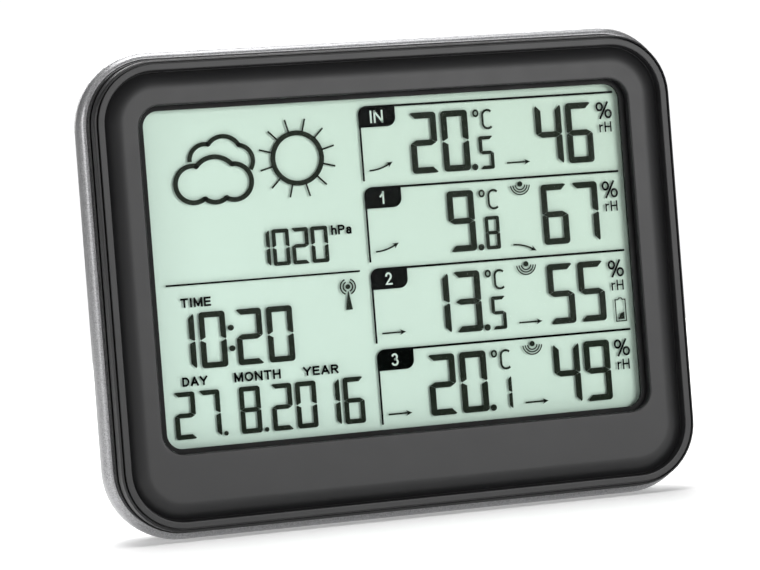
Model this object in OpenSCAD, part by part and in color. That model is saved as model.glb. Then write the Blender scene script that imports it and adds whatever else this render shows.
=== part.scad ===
// Home weather station for a desk or a wall: a charcoal front bezel round a segment display,
// a silver rear cover, a fold-out stand, a battery door and five rear buttons.
// X runs to the right, Z runs up, and the display faces -Y. The base stands on Z = 0.
// Every depth is counted backwards from the front ring, and every reach outwards from its edge.

/* [Case] */
// Overall width, across the rear cover
case_w = 140; // [138:0.5:144]
// Overall height, across the rear cover
case_h = 108.5; // [108:0.5:112]
// Overall depth, from the front ring to the back
case_d = 26; // [26:0.5:28]
// How far the rear cover stands outside the front ring, all round
cover_reach = 3; // [2.8:0.1:3.2]
// Thickness of the rear cover's back wall
back_wall = 2; // [1.8:0.1:2.2]
// Depth at which the bezel ends and the rear cover begins
parting_depth = 5.7; // [5.5:0.1:6]

/* [Front bezel] */
// Width of the raised ring round the face
ring_flat = 1.84; // [1.5:0.01:2.2]
// Corner radius of the ring's outer edge
ring_r = 13.5; // [12:0.5:15]
// Depth of the valley just inside the ring
valley_depth = 2.1; // [1.8:0.1:2.3]
// Width of the valley
valley_w = 1.5; // [1:0.1:2]
// Depth of the flat face round the display
face_depth = 1; // [0.8:0.1:1.2]
// Depth of the face plate's inner side
plate_depth = 3; // [2.8:0.1:3]

/* [Display] */
// Window edge to ring edge, at the sides and the top
window_margin = 9.5; // [9:0.1:10]
// Window edge to ring edge, at the bottom
window_low = 16.2; // [16:0.1:17]
// Corner radius of the window
window_r = 4.9; // [4:0.1:5.5]
// Black border that the display frame shows inside the window
border_w = 1.35; // [1.1:0.05:1.6]
// Dark border above and below the display's picture [mm]
border_h = 1.0; // [0.8:0.05:1.3]
// Thickness of each display glass
glass_t = 0.7; // [0.6:0.05:0.7]

/* [Batteries] */
// Radius of a cell
cell_r = 7.25; // [7.1:0.05:7.25]
// Length of a cell's can
cell_l = 49.3; // [49:0.1:49.5]

/* [Stand] */
// Width of the stand
stand_w = 45; // [40:1:46]
// Thickness of the stand
stand_t = 3; // [2.6:0.1:3.2]
// Radius of the stand's pivot pins
stand_pin_r = 1.2; // [1:0.1:1.3]

/* [Buttons] */
// Width of a button cap
button_w = 8; // [7:0.5:9]
// Height of a button cap
button_h = 5; // [4:0.5:6]
// Distance from one button to the next
button_pitch = 11; // [10:0.5:11]
// Travel of a button
button_travel = 0.8; // [0.5:0.1:0.8]

/* [Hidden] */
$fn = 48;

// Gaps
slip = 0.25;      // between a moving piece and the opening it moves in
pin_play = 0.07;  // radial play of a pin in its hole
fit_gap = 0.15;   // between two fixed pieces
over = 1;         // how far a cut runs past a face

// Case
ring_w = case_w - 2 * cover_reach;
ring_h = case_h - 2 * cover_reach;
mid_z = case_h / 2;
ring_low_z = mid_z - ring_h / 2;
front_y = -case_d / 2;
flare = 1.4;                       // how far the bezel's side wall leans out
bezel_end = parting_depth - 0.3;   // the bezel's rear edge
skirt_out = 0.3;                   // the bezel's skirt, inside the rear cover
skirt_in = -1.3;
skirt_end = 9;
hull_fn = 32;
sheet = 0.05;                      // thickness of the slices that a hull joins

// Rear cover: a rolled front edge, a widest band, and an elliptical pillow behind it
roll_depth = 2.9;
widest_end = 11;
back_inset = -13;                  // reach of the flat back's edge
cover_bore = 0.6;                  // reach of the inner side
base_end = 19;                     // the flat base ends at this depth
base_inset = -8;                   // reach of the flat back's lower edge
inner_back = case_d - back_wall;
bore_steps = [[widest_end + 3, cover_bore, cover_bore], [widest_end + 8, -2.4, -0.2],
              [inner_back - 2, -7.5, -3], [inner_back, back_inset - 1, base_inset - 3]];

// Display
window_x = ring_w / 2 - window_margin;
window_z = [ring_low_z + window_low, ring_low_z + ring_h - window_margin];
view_x = window_x - border_w;
view_z = [window_z[0] + border_h, window_z[1] - border_h];
view_r = window_r - border_w;
frame_front = plate_depth + 0.1;
glass_front = 4.15;
glass_x = view_x + 2;
glass_z = [view_z[0] - 2, view_z[1] + 1.6];
ledge = 2.6;                       // contact ledge below the rear glass
front_glass_end = glass_front + glass_t;
rear_glass_front = front_glass_end + 0.05;
rear_glass_end = rear_glass_front + glass_t;
reflector_t = 0.2;
frame_x = 60.2;
frame_z = [glass_z[0] - ledge - 2, glass_z[1] + 1.65];

// Main board
board_front = 6.9;
board_t = 1.2;
board_back = board_front + board_t;
board_x = 60;
board_z = [6.5, case_h - 5.8];
board_screw_x = 35;
board_screw_z = [10, case_h - 8];

// Corner screws
boss_x = ring_w / 2 - 8;
boss_up = ring_h / 2 - 8;
boss_z = [mid_z - boss_up, mid_z + boss_up];
boss_r = 3;
boss_meet = 12;
cover_boss_r = 3.4;
cover_boss_end = inner_back - 1.95;        // inside the pillow's skin at the corners
screw_shank_r = 1.15;
screw_head_r = 2.1;

// Battery bay
bay_x = 28.8;
bay_z = [49, 79.4];
bay_front = 9.7;
bay_wall = 1.2;
cell_depth = bay_front + cell_r + 0.1;
cell_z = [bay_z[0] + cell_r + 0.35, bay_z[1] - cell_r - 0.35];
cell_x0 = -cell_l / 2 - 0.6;
cap_r = 2.75;
cap_l = 1.1;

// Battery door
door_t = 1.6;
door_x = bay_x + 1.7;
door_top = bay_z[1] + 1.7;
door_barrel_r = 1.1;
door_pin_r = 0.8;
door_pivot = [case_d - door_barrel_r, bay_z[0] - 1.6];   // depth, height
door_pin_l = 1.6;

// Stand
barrel_r = 2;
stand_pivot = [case_d - barrel_r - 0.1, 41];             // depth, height
stand_low_z = 12;
pocket_low_z = 7;
pocket_floor = case_d - 4.6;
pocket_x = stand_w / 2 + slip + 0.2;
pin_l = 2;
foot_w = 26;
foot_h = 4;

// Buttons
button_x = -43;
button_z = [for (i = [-2:2]) 58 + i * button_pitch];
button_top = case_d - 0.3;
trough_depth = 1;
flange = 1.2;
flange_t = 1;
flange_back = inner_back - 0.4;
switch_board_front = 16.4;
switch_board_back = switch_board_front + board_t;
switch_body_end = 20.8;
switch_plunger_end = flange_back - flange_t - button_travel - 0.2;
post_z = [button_z[0] - 7, button_z[4] + 7];

// Wall hanging and air
hang_z = 90;
hang_r = 4;
hang_slot_r = 2.1;
hang_slot_z = 96.4;
vent_x = 44;
vent_z0 = 58;
vent_pitch = 4;
vent_count = 6;
vent_w = 14;
vent_r = 0.8;

// ---------- Helpers ----------

// Carries a flat outline drawn in X and Z backwards from depth d0 to depth d1.
module along_y(d0, d1)
    translate([0, front_y + d1, 0])
        rotate([90, 0, 0])
            linear_extrude(height = d1 - d0)
                children();

// Rectangle with round corners, between two X and two Z values.
module rounded(x0, x1, z0, z1, r) {
    translate([x0 + r, z0])
        square([x1 - x0 - 2 * r, z1 - z0]);
    translate([x0, z0 + r])
        square([x1 - x0, z1 - z0 - 2 * r]);
    for (x = [x0 + r, x1 - r], z = [z0 + r, z1 - r])
        translate([x, z])
            circle(r = r);
}

// Plain box between two X, two depth and two Z values.
module block(x0, x1, d0, d1, z0, z1)
    translate([x0, front_y + d0, z0])
        cube([x1 - x0, d1 - d0, z1 - z0]);

// Cylinder along Y between two depths, at x and z.
module rod_y(x, z, r, d0, d1)
    translate([x, front_y + d1, z])
        rotate([90, 0, 0])
            cylinder(r = r, h = d1 - d0);

// Cylinder along X between two X values, at depth d and height z.
module rod_x(x0, x1, d, z, r)
    translate([x0, front_y + d, z])
        rotate([0, 90, 0])
            cylinder(r = r, h = x1 - x0);

// The ring's outline moved outwards by reach, and by low at the bottom.
module outline(reach, low)
    rounded(-ring_w / 2 - reach, ring_w / 2 + reach, ring_low_z - low,
            ring_low_z + ring_h + reach, max(4, ring_r + reach));

module slice(d, reach, low)
    along_y(d, d + sheet)
        outline(reach, low, $fn = hull_fn);

// Reach of the bottom edge at a depth behind the flat base, for an ellipse of the given half axes.
function low_reach(d, half_depth, half_reach) =
    d <= base_end ? base_inset + half_reach
    : base_inset + half_reach * sqrt(max(0, 1 - pow((d - base_end) / half_depth, 2)));

// Both corners of a pair, on the left and on the right.
module both_sides()
    for (side = [0, 1])
        mirror([side, 0, 0])
            children();

// ---------- Front bezel ----------

module front_bezel() color("#4b4b4b") {
    difference() {
        union() {
            hull() {
                slice(0, -0.3, -0.3);
                slice(0.3, 0, 0);
                slice(bezel_end - sheet, flare, flare);
            }
            along_y(bezel_end - sheet, skirt_end)
                outline(skirt_out, skirt_out);
        }
        along_y(-over, face_depth)
            outline(-ring_flat, -ring_flat);
        along_y(face_depth - sheet, valley_depth)
            difference() {
                outline(-ring_flat, -ring_flat);
                outline(-ring_flat - valley_w, -ring_flat - valley_w);
            }
        along_y(-over, case_d)
            rounded(-window_x, window_x, window_z[0], window_z[1], window_r);
        along_y(plate_depth, case_d)
            outline(skirt_in, skirt_in);
    }
    both_sides() {
        for (z = boss_z)
            difference() {
                rod_y(boss_x, z, boss_r, plate_depth - sheet, boss_meet);
                rod_y(boss_x, z, screw_shank_r + fit_gap / 3, plate_depth + 1.5, case_d);
            }
        for (z = board_screw_z)
            difference() {
                rod_y(board_screw_x, z, 1.9, plate_depth - sheet, board_front - 0.05);
                rod_y(board_screw_x, z, 0.85, plate_depth + 1, case_d);
            }
    }
}

// ---------- Display ----------

// Black carrier: a thin lip round the view, and a wall that holds the glass.
module display_frame() color("#101010")
    difference() {
        along_y(frame_front, board_front - fit_gap)
            rounded(-frame_x, frame_x, frame_z[0], frame_z[1], 1.5);
        along_y(-over, case_d)
            rounded(-view_x, view_x, view_z[0], view_z[1], view_r);
        block(-glass_x - fit_gap, glass_x + fit_gap, glass_front - 0.03, case_d,
              glass_z[0] - ledge - fit_gap, glass_z[1] + fit_gap);
        both_sides()
            for (z = boss_z)
                rod_y(boss_x, z, boss_r + 0.4, -over, case_d);
    }

module display_front_glass() color("#d6e6dc")
    block(-glass_x, glass_x, glass_front, front_glass_end, glass_z[0] - ledge, glass_z[1]);

module display_rear_glass() color("#cfe3d8")
    block(-glass_x, glass_x, rear_glass_front, rear_glass_end, glass_z[0], glass_z[1]);

module display_reflector() color("#c9ddd2")
    block(-glass_x + 0.5, glass_x - 0.5, rear_glass_end + 0.02,
          rear_glass_end + 0.02 + reflector_t, glass_z[0] + 0.5, glass_z[1] - 0.5);

// Striped rubber bar that carries the signals from the board to the glass ledge.
module elastomer_connector() color("#8d5a86")
    block(-54, 54, front_glass_end + 0.03, board_front - 0.03,
          glass_z[0] - ledge + 0.3, glass_z[0] - 0.3);

// ---------- Boards and what they carry ----------

module main_board() color("#1f6b3a")
    difference() {
        along_y(board_front, board_back)
            rounded(-board_x, board_x, board_z[0], board_z[1], 2);
        both_sides() {
            for (z = boss_z)
                rod_y(boss_x, z, boss_r + 0.6, -over, case_d);
            for (z = board_screw_z)
                rod_y(board_screw_x, z, 1.1, -over, case_d);
        }
    }

module processor_blob() color("#16161a")
    translate([-4, front_y + board_back, 32])
        rotate([-90, 0, 0])
            rotate_extrude()
                intersection() {
                    translate([0, -9])
                        circle(r = 11.5);
                    square([7, 2.5]);
                }

module clock_crystal() color("#c9ccd0")
    rod_x(12, 20, board_back + 1.65, 30, 1.55);

module board_capacitors() color("#20386b")
    for (x = [24, 33])
        rod_y(x, 40, 2.5, board_back, board_back + 7);

module voltage_regulator() color("#202020") {
    block(12, 18, board_back, board_back + 1.8, 37, 41);
    block(13, 17, board_back, board_back + 0.8, 36, 37.1);
}

// Daughter board of the sensor receiver, held off the main board by its pin row.
module receiver_module() color("#245f8f") {
    block(38, 56, board_back + 2.5, board_back + 3.5, 18, 46);
    block(40, 42.5, board_back, board_back + 2.6, 20, 44);
    block(45, 51, board_back + 3.4, board_back + 5.2, 24, 32);
}

// Helical receiver antenna, drawn as the sleeve that its turns fill.
module receiver_antenna() color("#b87333")
    difference() {
        rod_x(40, 54, board_back + 7.2, 41, 2.6);
        rod_x(40 - over, 54 + over, board_back + 7.2, 41, 1.8);
    }

module time_antenna_rod() color("#2b2b2e")
    rod_x(-28, 28, 15, 15, 4);

module time_antenna_coil() color("#b5651d")
    difference() {
        rod_x(-12, 12, 15, 15, 4.9);
        rod_x(-12 - over, 12 + over, 15, 15, 4.05);
    }

// Two cradles that clip round the rod and stand on the main board.
module time_antenna_holder() color("#e8e6df")
    both_sides()
        difference() {
            block(18, 23, board_back, 18.5, 9.5, 20.5);
            rod_x(18 - over, 23 + over, 15, 15, 4.08);
            block(18 - over, 23 + over, 15, 20, 12, 18);
        }

// Temperature and humidity sensor on a small upright board behind the vents.
module humidity_sensor() color("#f2f2ee") {
    block(44, 45, board_back, board_back + 12.5, 60, 74);
    block(44.9, 48, board_back + 7, board_back + 12, 63.5, 69.5);
}

module pressure_sensor() color("#b9bcc0") {
    block(36, 41, board_back, board_back + 1.2, 88, 93);
    rod_y(38.5, 90.5, 1.6, board_back + 1.1, board_back + 2.6);
}

module button_board() color("#1f6b3a")
    difference() {
        block(button_x - 6, button_x + 6, switch_board_front, switch_board_back,
              post_z[0] - 3, post_z[1] + 3);
        for (z = post_z)
            rod_y(button_x, z, 1.1, -over, case_d);
    }

module tact_switches() color("#3a3a3a")
    for (z = button_z) {
        block(button_x - 3, button_x + 3, switch_board_back, switch_body_end, z - 3, z + 3);
        rod_y(button_x, z, 1.7, switch_body_end - sheet, switch_plunger_end);
    }

module button_ribbon() color("#d9d9d9")
    block(button_x - 4, button_x + 4, board_back, switch_board_front, 42.2, 43);

// ---------- Rear cover ----------

module cover_outside()
    hull() {
        for (a = [0:22.5:90])
            slice(parting_depth + roll_depth * (1 - cos(a)),
                  flare + (cover_reach - flare) * sin(a),
                  flare + (cover_reach - flare) * sin(a));
        for (a = [0:10:90]) {
            d = widest_end + (case_d - sheet - widest_end) * sin(a);
            slice(d, back_inset + (cover_reach - back_inset) * cos(a),
                  low_reach(d, case_d - base_end, cover_reach - base_inset));
        }
        slice(base_end, back_inset + (cover_reach - back_inset)
                        * sqrt(1 - pow((base_end - widest_end) / (case_d - widest_end), 2)),
              cover_reach);
    }

// The inner side is stepped: each step ends at a depth, with its reach and its reach below.
module cover_inside()
    for (step = bore_steps)
        along_y(parting_depth - over, step[0])
            outline(step[1], step[2]);

// Walls that stand inside the cover: bay, door rim, stand pocket, posts and screw bosses.
module cover_inner_walls() {
    block(-bay_x - bay_wall, bay_x + bay_wall, bay_front - 1, inner_back + sheet,
          bay_z[0] - bay_wall, bay_z[1] + bay_wall);
    block(-door_x - 3, door_x + 3, inner_back - 2.4, inner_back + sheet,
          bay_z[0] - 4.4, door_top + 1.6);
    block(-pocket_x - 3, pocket_x + 3, pocket_floor - 1.5, inner_back + sheet,
          10, stand_pivot[1] + 3.4);
    for (z = post_z)
        difference() {
            rod_y(button_x, z, 2.4, switch_board_back + 0.05, inner_back + sheet);
            rod_y(button_x, z, 0.85, switch_board_back - over, inner_back - 1);
        }
    both_sides()
        for (z = boss_z)
            rod_y(boss_x, z, cover_boss_r, boss_meet + 0.3, cover_boss_end);
}

// Head hole with a narrower slot that runs up from it.
module keyhole_outline() {
    translate([0, hang_z])
        circle(r = hang_r);
    translate([0, hang_slot_z])
        circle(r = hang_slot_r);
    translate([-hang_slot_r, hang_z])
        square([2 * hang_slot_r, hang_slot_z - hang_z]);
}

module cover_cuts() {
    // battery bay, door seat and door pivot
    block(-bay_x, bay_x, bay_front, case_d + over, bay_z[0], bay_z[1]);
    along_y(case_d - door_t - fit_gap, case_d + over)
        rounded(-door_x - slip, door_x + slip, door_pivot[1] - 0.6, door_top + slip, 1);
    block(-door_x - slip, door_x + slip, door_pivot[0] - door_barrel_r - slip, case_d + over,
          door_pivot[1] - door_barrel_r - slip, door_pivot[1] + door_barrel_r + 0.5);
    rod_x(-door_x - door_pin_l - slip, door_x + door_pin_l + slip, door_pivot[0],
          door_pivot[1], door_pin_r + pin_play);
    // thumb scoop above the door
    along_y(case_d - 1.3, case_d + over)
        rounded(-7, 7, door_top - 1, door_top + 2.4, 1.6);
    // stand pocket and stand pivot
    along_y(pocket_floor, case_d + over)
        rounded(-pocket_x, pocket_x, pocket_low_z, stand_pivot[1] + barrel_r + slip, 1);
    rod_x(-stand_w / 2 - pin_l - slip, stand_w / 2 + pin_l + slip, stand_pivot[0],
          stand_pivot[1], stand_pin_r + pin_play);
    // button trough and button openings
    along_y(case_d - trough_depth, case_d + over)
        rounded(button_x - 7, button_x + 7, button_z[0] - 6, button_z[4] + 6, 5);
    for (z = button_z)
        along_y(inner_back - over - sheet, case_d + over)
            rounded(button_x - button_w / 2 - slip, button_x + button_w / 2 + slip,
                    z - button_h / 2 - slip, z + button_h / 2 + slip,
                    button_h / 2 + slip - 0.02);
    // keyhole
    along_y(inner_back - over, case_d + over)
        keyhole_outline();
    // vents
    for (i = [0:vent_count - 1])
        along_y(inner_back - over, case_d + over)
            rounded(vent_x - vent_w / 2, vent_x + vent_w / 2,
                    vent_z0 + i * vent_pitch - vent_r, vent_z0 + i * vent_pitch + vent_r,
                    vent_r - 0.02);
    // case screws
    both_sides()
        for (z = boss_z) {
            rod_y(boss_x, z, screw_shank_r + 0.2, boss_meet, case_d);
            rod_y(boss_x, z, screw_head_r + 0.5, boss_meet + 2.4, case_d + over);
        }
}

module rear_cover() color("#a3a6a8")
    difference() {
        union() {
            difference() {
                cover_outside();
                cover_inside();
            }
            cover_inner_walls();
        }
        cover_cuts();
    }

// ---------- Batteries ----------

// One cell along X. Its button end points to +X, or to -X when turned.
module cell(z, turned) {
    x0 = turned ? -cell_x0 - cell_l : cell_x0;
    rod_x(x0, x0 + cell_l, cell_depth, z, cell_r);
    if (turned)
        rod_x(x0 - cap_l, x0 + sheet, cell_depth, z, cap_r);
    else
        rod_x(x0 + cell_l - sheet, x0 + cell_l + cap_l, cell_depth, z, cap_r);
}

module battery_upper() color("#c8762f")
    cell(cell_z[1], false);

module battery_lower() color("#c8762f")
    cell(cell_z[0], true);

// A spring contact is drawn as the tapered sleeve that its turns fill.
module spring_sleeve(r_wide, r_tip, h)
    rotate_extrude()
        polygon([[r_wide - 0.8, 0], [r_wide, 0], [r_tip, h], [r_tip - 0.8, h]]);

module contact_springs() color("#d4d6d8") {
    spring_h = bay_x - 0.55 + cell_x0 - 0.1;
    translate([-bay_x + 0.5, front_y + cell_depth, cell_z[1]])
        rotate([0, 90, 0])
            spring_sleeve(4.5, 3, spring_h);
    translate([bay_x - 0.5, front_y + cell_depth, cell_z[0]])
        rotate([0, -90, 0])
            spring_sleeve(4.5, 3, spring_h);
}

// Sprung end plates: a bridge on the left, two single plates on the right.
module contact_plates() color("#d4d6d8") {
    block(-bay_x + 0.05, -bay_x + 0.45, cell_depth - 5, cell_depth + 5,
          cell_z[0] - 5, cell_z[1] + 5);
    for (z = cell_z)
        block(bay_x - 0.45, bay_x - 0.05, cell_depth - 5, cell_depth + 5, z - 5, z + 5);
    cap_reach = bay_x - 0.45 - (-cell_x0) - cap_l;
    rod_x(bay_x - 0.4 - cap_reach, bay_x - 0.4, cell_depth, cell_z[1], 2.2);
    rod_x(-bay_x + 0.4, -bay_x + 0.4 + cap_reach, cell_depth, cell_z[0], 2.2);
}

// Two leads beside the bay, from its end plates to the main board.
module battery_leads() color("#b3261e")
    for (z = cell_z) {
        rod_y(bay_x + 3, z, 0.7, board_back, board_back + 6);
        translate([bay_x + 3, front_y + board_back + 6, z])
            sphere(r = 0.7);
        rod_x(bay_x + bay_wall + 0.05, bay_x + 3, board_back + 6, z, 0.7);
    }

// ---------- Fasteners ----------

module screw(x, z, shank_r, head_r, tip, seat, head_h)
    difference() {
        union() {
            rod_y(x, z, shank_r, tip, seat + sheet);
            rod_y(x, z, head_r, seat, seat + head_h);
        }
        block(x - head_r * 0.6, x + head_r * 0.6, seat + head_h * 0.5, case_d,
              z - head_r * 0.14, z + head_r * 0.14);
        block(x - head_r * 0.14, x + head_r * 0.14, seat + head_h * 0.5, case_d,
              z - head_r * 0.6, z + head_r * 0.6);
    }

module case_screws() color("#b8bbc0")
    for (x = [-boss_x, boss_x], z = boss_z)
        screw(x, z, screw_shank_r, screw_head_r, plate_depth + 2.5, boss_meet + 2.42, 1.5);

module board_screws() color("#b8bbc0")
    for (x = [-board_screw_x, board_screw_x], z = board_screw_z)
        screw(x, z, 0.82, 1.6, plate_depth + 1.5, board_back + 0.02, 1);

module button_board_screws() color("#b8bbc0")
    for (z = post_z)
        translate([button_x, 0, z])
            mirror([0, 1, 0])
                translate([0, -2 * front_y - 2 * switch_board_front, 0])
                    screw(0, 0, 0.82, 1.6, switch_board_front - 4, switch_board_front + 0.02, 1);

// ---------- Moving pieces ----------

module battery_door() color("#a3a6a8")
    difference() {
        union() {
            along_y(case_d - door_t, case_d)
                rounded(-door_x, door_x, door_pivot[1], door_top, 0.8);
            block(-door_x, door_x, case_d - door_t, case_d,
                  door_pivot[1], door_pivot[1] + 2);
            rod_x(-door_x, door_x, door_pivot[0], door_pivot[1], door_barrel_r);
            rod_x(-door_x - door_pin_l, door_x + door_pin_l, door_pivot[0], door_pivot[1],
                  door_pin_r);
        }
        // grip grooves
        for (i = [0:3])
            rod_x(-6, 6, case_d + 0.1, door_top - 3 - 1.6 * i, 0.5);
    }

module stand() color("#8f9294")
    difference() {
        union() {
            along_y(case_d - 0.1 - stand_t, case_d - 0.1)
                rounded(-stand_w / 2, stand_w / 2, stand_low_z, stand_pivot[1], 2.5);
            block(-stand_w / 2, stand_w / 2, case_d - 0.1 - stand_t, case_d - 0.1,
                  stand_low_z + 6, stand_pivot[1]);
            rod_x(-stand_w / 2, stand_w / 2, stand_pivot[0], stand_pivot[1], barrel_r);
            rod_x(-stand_w / 2 - pin_l, stand_w / 2 + pin_l, stand_pivot[0],
                  stand_pivot[1], stand_pin_r);
        }
        // shallow panel on the outside, and the seat of the foot inside
        along_y(case_d - 0.8, case_d + over)
            rounded(-stand_w / 2 + 5, stand_w / 2 - 5, stand_low_z + 8, stand_pivot[1] - 5, 2);
        block(-foot_w / 2 - 0.05, foot_w / 2 + 0.05, case_d - 0.1 - stand_t - over,
              case_d - stand_t + 0.75, stand_low_z + 0.95, stand_low_z + 1.05 + foot_h);
    }

// Rubber strip let into the stand's inner side, at the end that meets the table.
module stand_foot() color("#1c1c1c")
    block(-foot_w / 2, foot_w / 2, case_d - stand_t - 0.45, case_d - stand_t + 0.7,
          stand_low_z + 1, stand_low_z + 1 + foot_h);

module button(z) color("#4b4b4b") {
    along_y(flange_back - sheet, button_top)
        rounded(button_x - button_w / 2, button_x + button_w / 2,
                z - button_h / 2, z + button_h / 2, button_h / 2 - 0.02);
    along_y(flange_back - flange_t, flange_back)
        rounded(button_x - button_w / 2 - flange, button_x + button_w / 2 + flange,
                z - button_h / 2 - flange, z + button_h / 2 + flange, 2);
}

module button_mode() button(button_z[4]);
module button_set() button(button_z[3]);
module button_up() button(button_z[2]);
module button_down() button(button_z[1]);
module button_channel() button(button_z[0]);

front_bezel();
display_frame();
display_front_glass();
display_rear_glass();
display_reflector();
elastomer_connector();
main_board();
processor_blob();
clock_crystal();
board_capacitors();
voltage_regulator();
receiver_module();
receiver_antenna();
time_antenna_rod();
time_antenna_coil();
time_antenna_holder();
humidity_sensor();
pressure_sensor();
button_board();
tact_switches();
button_ribbon();
rear_cover();
battery_upper();
battery_lower();
contact_springs();
contact_plates();
battery_leads();
case_screws();
board_screws();
button_board_screws();
battery_door();
stand();
stand_foot();
button_mode();
button_set();
button_up();
button_down();
button_channel();
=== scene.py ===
"""Looks of a home weather station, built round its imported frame.

Lengths are in millimetres until a mesh is made. X runs right, Z runs up and the display faces -Y.
A depth is counted backwards from the front ring, and a reach outwards from the ring's edge.
A shape is a pair: an array of points, and a list of faces that are rows of point numbers.
"""

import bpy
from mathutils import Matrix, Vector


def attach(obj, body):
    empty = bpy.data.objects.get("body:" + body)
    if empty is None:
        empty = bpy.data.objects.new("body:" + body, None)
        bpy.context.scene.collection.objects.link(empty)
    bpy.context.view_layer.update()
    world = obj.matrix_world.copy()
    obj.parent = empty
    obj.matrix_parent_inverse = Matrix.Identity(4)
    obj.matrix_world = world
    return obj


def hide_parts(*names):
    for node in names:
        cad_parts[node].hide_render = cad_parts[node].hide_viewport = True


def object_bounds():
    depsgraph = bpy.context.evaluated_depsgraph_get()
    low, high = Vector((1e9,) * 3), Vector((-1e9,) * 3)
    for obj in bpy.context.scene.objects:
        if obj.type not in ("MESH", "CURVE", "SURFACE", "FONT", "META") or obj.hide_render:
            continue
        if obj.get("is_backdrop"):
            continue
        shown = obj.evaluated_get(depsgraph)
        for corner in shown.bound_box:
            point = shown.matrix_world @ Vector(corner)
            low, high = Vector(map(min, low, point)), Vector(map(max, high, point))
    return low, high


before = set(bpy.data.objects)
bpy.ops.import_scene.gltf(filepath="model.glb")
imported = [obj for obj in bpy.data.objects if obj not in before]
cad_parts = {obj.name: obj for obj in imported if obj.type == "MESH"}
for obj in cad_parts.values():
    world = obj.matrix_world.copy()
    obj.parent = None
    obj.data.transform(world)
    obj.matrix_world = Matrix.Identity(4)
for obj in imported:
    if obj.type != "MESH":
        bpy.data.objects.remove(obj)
cad_low, cad_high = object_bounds()
cad_box = [list(cad_low), list(cad_high)]

import bmesh
import bpy
import numpy as np
from mathutils import Matrix

MM = 0.001
FRONT_Y = -13.0
MIDDLE_Z = 54.25
RING_HALF_W = 67.0
RING_LOW = 3.0
RING_HIGH = 105.5
RING_RADIUS = 13.5
WINDOW = (-57.5, 57.5, 19.2, 96.0, 4.9)  # two X, two Z and the corner radius
FLAT_DEPTH = 0.85  # depth of the bezel's flat face
VALLEY_FALL = 1.4  # from the flat face down to the valley
BACK = 26.0  # depth of the rear cover's outside
DOOR_HINGE = (24.9, 47.4)  # depth and Z of each hinge's axis
STAND_HINGE = (23.9, 41.0)
CASE_SCREW_X = (-59.0, 59.0)
CASE_SCREW_Z = (11.0, 97.5)
VENT_HEIGHTS = (58.0, 62.0, 66.0, 70.0, 74.0, 78.0)
BUTTON_X = -43.0
BUTTON_HEIGHTS = {"mode": 80.0, "set": 69.0, "up": 58.0, "down": 47.0, "channel": 36.0}
CELL_DEPTH = 17.05
CELL_END = 25.25  # distance of a cell's flat end from the middle, along X
UPPER_CELL_Z = 71.8
LOWER_CELL_Z = 56.6
CREASE = 32.0  # edges sharper than this many degrees stay sharp
LIGHT_TARGET = (0.0, 0.0, 0.05)


# ---------- Camera, lights and surroundings ----------

def added(name, data):
    """A new object in the scene."""
    made = bpy.data.objects.new(name, data)
    bpy.context.scene.collection.objects.link(made)
    return made


def placed(right, up, back, place):
    """Matrix that gives a camera or a light its three axes and its place in metres."""
    matrix = np.eye(4)
    matrix[:3] = np.stack([right, up, back, place], 1)
    return Matrix(matrix.tolist())


def aim_camera(place, turn, dip, roll, lens):
    """Camera at a place in millimetres, turned from +Y towards +X, dipped below the level and
    rolled, all in degrees."""
    turn, dip, roll = np.radians([turn, dip, roll])
    ahead = np.array([np.sin(turn) * np.cos(dip), np.cos(turn) * np.cos(dip), -np.sin(dip)])
    level = np.array([np.cos(turn), -np.sin(turn), 0.0])
    above = np.cross(level, ahead)
    right = np.cos(roll) * level + np.sin(roll) * above
    up = np.cos(roll) * above - np.sin(roll) * level
    data = bpy.data.cameras.new("studio_camera")
    data.lens = lens
    data.sensor_width = 36.0
    data.clip_start = 0.05
    data.clip_end = 20.0
    camera = added("studio_camera", data)
    camera.matrix_world = placed(right, up, -ahead, np.array(place) * MM)
    bpy.context.scene.camera = camera


def soft_light(name, place, size, power):
    """Square area light that faces the target. Its place and side length are in metres."""
    data = bpy.data.lights.new(name, "AREA")
    data.shape = "SQUARE"
    data.size = size
    data.energy = power
    ahead = np.array(LIGHT_TARGET) - np.array(place)
    ahead = ahead / np.linalg.norm(ahead)
    side = np.cross(ahead, [0.0, 0.0, 1.0])
    side = side / np.linalg.norm(side)
    lamp = added(name, data)
    lamp.matrix_world = placed(side, np.cross(side, ahead), -ahead, place)
    lamp.visible_camera = False


def light_room(seen, given):
    """White surroundings: seen is how bright they look, and given how bright they light."""
    world = bpy.data.worlds.new("white_room")
    bpy.context.scene.world = world
    world.use_nodes = True
    nodes = world.node_tree.nodes
    links = world.node_tree.links
    nodes.clear()
    path = nodes.new("ShaderNodeLightPath")
    level = nodes.new("ShaderNodeMapRange")
    level.inputs["To Min"].default_value = given
    level.inputs["To Max"].default_value = seen
    sky = nodes.new("ShaderNodeBackground")
    sky.inputs["Color"].default_value = (1.0, 1.0, 1.0, 1.0)
    end = nodes.new("ShaderNodeOutputWorld")
    links.new(path.outputs["Is Camera Ray"], level.inputs["Value"])
    links.new(level.outputs["Result"], sky.inputs["Strength"])
    links.new(sky.outputs["Background"], end.inputs["Surface"])


# ---------- Shapes ----------

def grid_faces(rows, columns, ring=False):
    """Quads between neighbours of a grid of points. Every row closes on itself, and in a ring
    the last row joins the first."""
    row = np.arange(rows if ring else rows - 1)[:, None]
    column = np.arange(columns)[None, :]
    next_row = (row + 1) % rows
    next_column = (column + 1) % columns
    corners = [row * columns + column, next_row * columns + column,
               next_row * columns + next_column, row * columns + next_column]
    corners = np.broadcast_arrays(*corners)
    return np.stack(corners, -1).reshape(-1, 4).tolist()


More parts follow.
